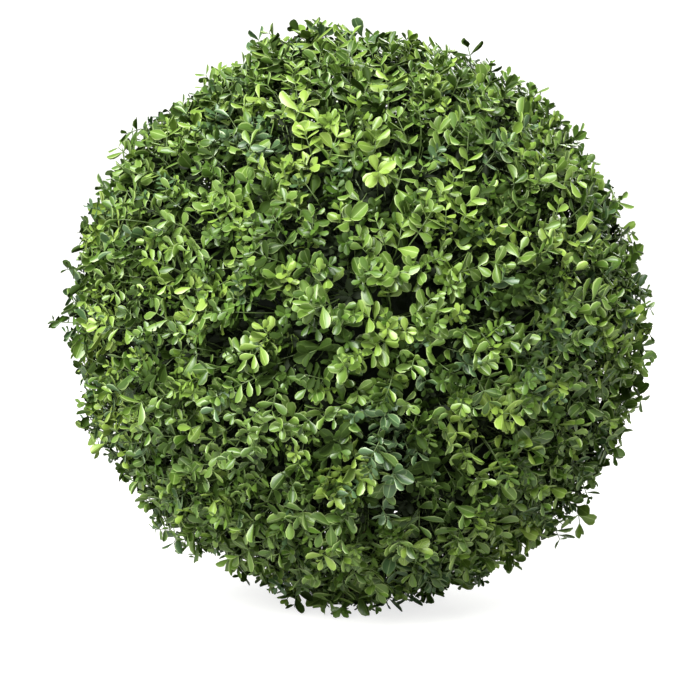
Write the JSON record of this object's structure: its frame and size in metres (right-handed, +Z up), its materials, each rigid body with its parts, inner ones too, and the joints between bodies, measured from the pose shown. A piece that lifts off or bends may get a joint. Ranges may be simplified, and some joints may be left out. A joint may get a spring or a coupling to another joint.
{
  "type": "artificial box topiary ball",
  "caption": "Round clipped ball of moulded box leaves on a short stem, to fix upright on level ground.",
  "frame": {"origin": "centre of the stem's flat foot, at ground level", "axes": "+Z up along the stem, -Y towards the front pole of the ball, +X along the seam between the half balls"},
  "size_m": [0.4069, 0.3949, 0.4058],
  "materials": {
    "stem": "matt brown, bark relief",
    "core": "matt dark green",
    "foliage": "satin moulded leaves in mixed greens"
  },
  "bodies": {
    "root": {"stem": "stem", "core_front_half": "core", "core_back_half": "core", "foliage_front_half": "foliage", "foliage_back_half": "foliage"}
  },
  "joints": []
}
